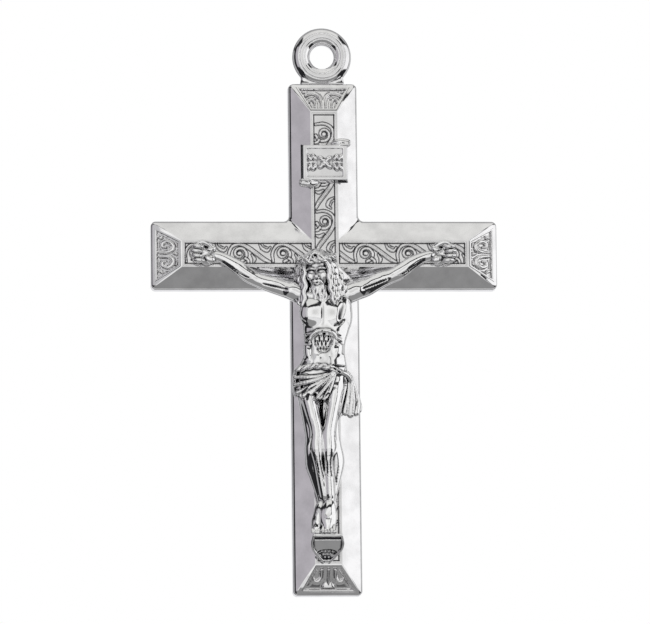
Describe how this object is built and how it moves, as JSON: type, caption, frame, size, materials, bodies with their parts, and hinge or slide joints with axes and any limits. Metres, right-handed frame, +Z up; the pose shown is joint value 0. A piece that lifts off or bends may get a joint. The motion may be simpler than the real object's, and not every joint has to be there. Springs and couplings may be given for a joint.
{
  "type": "hanging crucifix",
  "caption": "Small polished crucifix with a hanging eye, a bevelled cross inlaid with scrollwork, a title plaque, a cast corpus held by nails, and a foot rest.",
  "frame": {"origin": "centre of the hanging eye's hole, on its axis", "axes": "+Z up towards the top of the eye, -Y out of the front of the cross, +X to the viewer's right"},
  "size_m": [0.0352, 0.0066, 0.058],
  "materials": {
    "polished_silver": "mirror polished",
    "cast_silver": "polished casting",
    "relief_silver": "polished relief with darker recesses"
  },
  "bodies": {
    "root": {"cross_body": "polished_silver", "hanging_eye": "polished_silver", "title_plaque": "polished_silver", "foot_rest": "polished_silver", "corpus": "cast_silver", "nail_left_hand": "cast_silver", "nail_right_hand": "cast_silver", "nail_feet": "cast_silver", "scroll_strip_upper": "relief_silver", "scroll_strip_lower": "relief_silver", "scroll_strip_left": "relief_silver", "scroll_strip_right": "relief_silver", "end_panel_top": "relief_silver", "end_panel_bottom": "relief_silver", "end_panel_left": "relief_silver", "end_panel_right": "relief_silver"}
  },
  "joints": []
}
